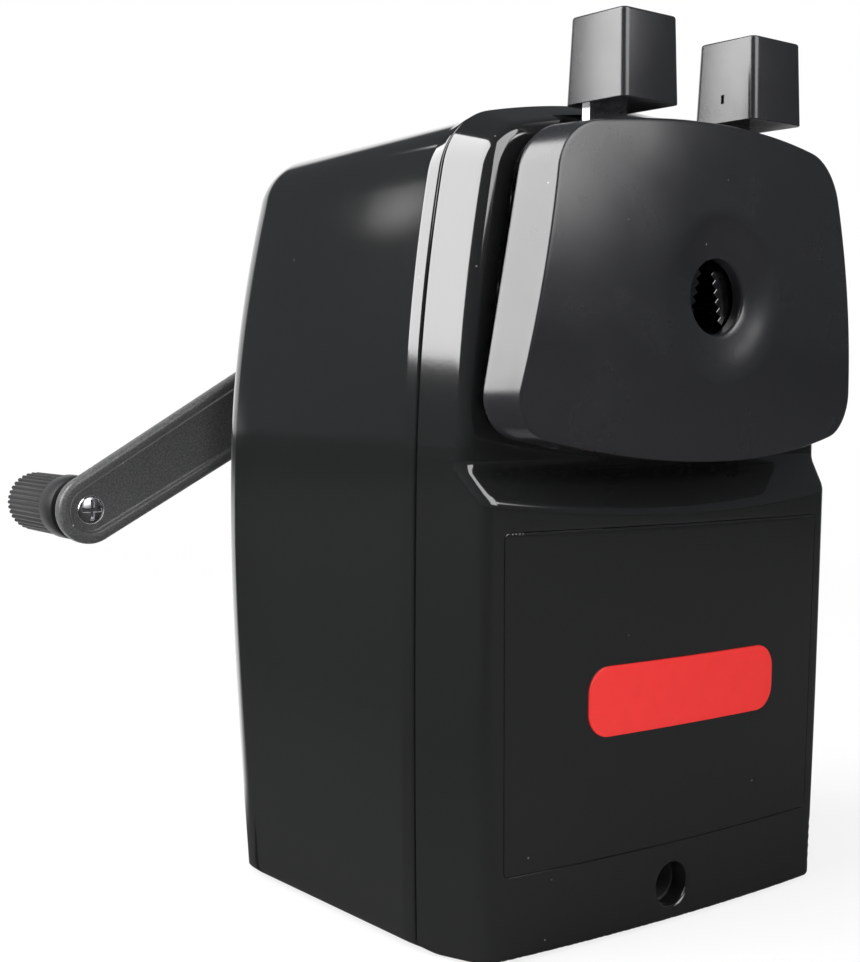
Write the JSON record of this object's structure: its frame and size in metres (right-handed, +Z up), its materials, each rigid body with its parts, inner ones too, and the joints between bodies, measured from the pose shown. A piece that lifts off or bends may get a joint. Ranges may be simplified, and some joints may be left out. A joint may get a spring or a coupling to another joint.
{
  "type": "crank pencil sharpener",
  "caption": "Desk pencil sharpener with a hand crank, a spring-back gripping front opened by two push caps, and a pull-out shavings drawer in a tapered black case.",
  "frame": {"origin": "middle of the case's depth and width, on the underside of the rubber base pad", "axes": "+Z up, -Y out of the front face where the pencil goes in, +X to the right seen from the front"},
  "size_m": [0.1152, 0.1062, 0.1419],
  "materials": {
    "gloss_black": "high gloss moulded",
    "satin_black": "satin moulded",
    "crank_grey": "fine textured satin",
    "grip_black": "ribbed satin",
    "label_red": "printed gloss",
    "pad_rubber": "matte",
    "base_black": "moulded",
    "gear_nylon": "moulded nylon",
    "cast_alloy": "die cast",
    "bearing_brass": "turned",
    "tool_steel": "ground",
    "spring_steel": "drawn wire",
    "plated_steel": "bright zinc plate"
  },
  "bodies": {
    "case": {"rear_housing": "gloss_black", "front_frame": "gloss_black", "base_plate": "base_black", "base_pad": "pad_rubber", "base_screws": "plated_steel", "housing_screws": "plated_steel", "ring_gear": "gear_nylon", "gear_screws": "plated_steel", "front_bearing": "bearing_brass", "rear_bearing": "bearing_brass", "guide_bushes": "bearing_brass", "left_return_spring": "spring_steel", "right_return_spring": "spring_steel"},
    "carriage": {"faceplate": "satin_black", "carriage_plate": "plated_steel", "faceplate_screws": "plated_steel", "rod_screws": "plated_steel", "left_guide_rod": "plated_steel", "right_guide_rod": "plated_steel", "rod_clips": "plated_steel", "lever_pivots": "plated_steel", "jaw_spring": "spring_steel"},
    "left_grip": {"left_lever": "plated_steel", "left_lever_cap": "satin_black", "left_jaw": "plated_steel"},
    "right_grip": {"right_lever": "plated_steel", "right_lever_cap": "satin_black", "right_jaw": "plated_steel"},
    "drawer": {"shavings_drawer": "gloss_black", "drawer_label": "label_red"},
    "crank": {"cutter_carrier": "cast_alloy", "cutter_axle": "plated_steel", "drive_shaft": "plated_steel", "thrust_washer": "plated_steel", "crank_arm": "crank_grey", "crank_nut": "plated_steel", "knob_screw": "plated_steel"},
    "knob": {"crank_knob": "grip_black"},
    "cutter": {"helical_cutter": "tool_steel", "cutter_pinion": "tool_steel"}
  },
  "joints": [
    {"name": "carriage_slide", "type": "slide", "parent": "case", "child": "carriage", "axis": [0, -1, 0], "range_m": [0, 0.028], "stiffness_N_per_m": 120, "springref_m": -0.02, "deforming": ["left_return_spring", "right_return_spring"]},
    {"name": "left_lever_squeeze", "type": "hinge", "parent": "carriage", "child": "left_grip", "pos_m": [-0.014, -0.03, 0.1185], "axis": [0, 1, 0], "range_deg": [0, 14], "stiffness_Nm_per_rad": 0.25, "springref_deg": -11.46, "deforming": ["jaw_spring"]},
    {"name": "right_lever_squeeze", "type": "hinge", "parent": "carriage", "child": "right_grip", "pos_m": [0.014, -0.03, 0.1185], "axis": [0, -1, 0], "range_deg": [0, 14], "stiffness_Nm_per_rad": 0.25, "springref_deg": -11.46},
    {"name": "drawer_slide", "type": "slide", "parent": "case", "child": "drawer", "axis": [0, -1, 0], "range_m": [0, 0.054]},
    {"name": "crank_turn", "type": "hinge", "parent": "case", "child": "crank", "pos_m": [0, 0.0255, 0.1003], "axis": [0, 1, 0], "continuous": true},
    {"name": "knob_turn", "type": "hinge", "parent": "crank", "child": "knob", "pos_m": [-0.06536, 0.0535, 0.06392], "axis": [0, 1, 0], "continuous": true},
    {"name": "cutter_turn", "type": "hinge", "parent": "crank", "child": "cutter", "pos_m": [0, 0.04968, 0.1003], "axis": [0, 0.9833, -0.1822], "continuous": true}
  ],
  "couplings": [
    {"joint": "right_lever_squeeze", "follows": "left_lever_squeeze", "ratio": 1},
    {"joint": "cutter_turn", "follows": "crank_turn", "ratio": -3.6667}
  ]
}
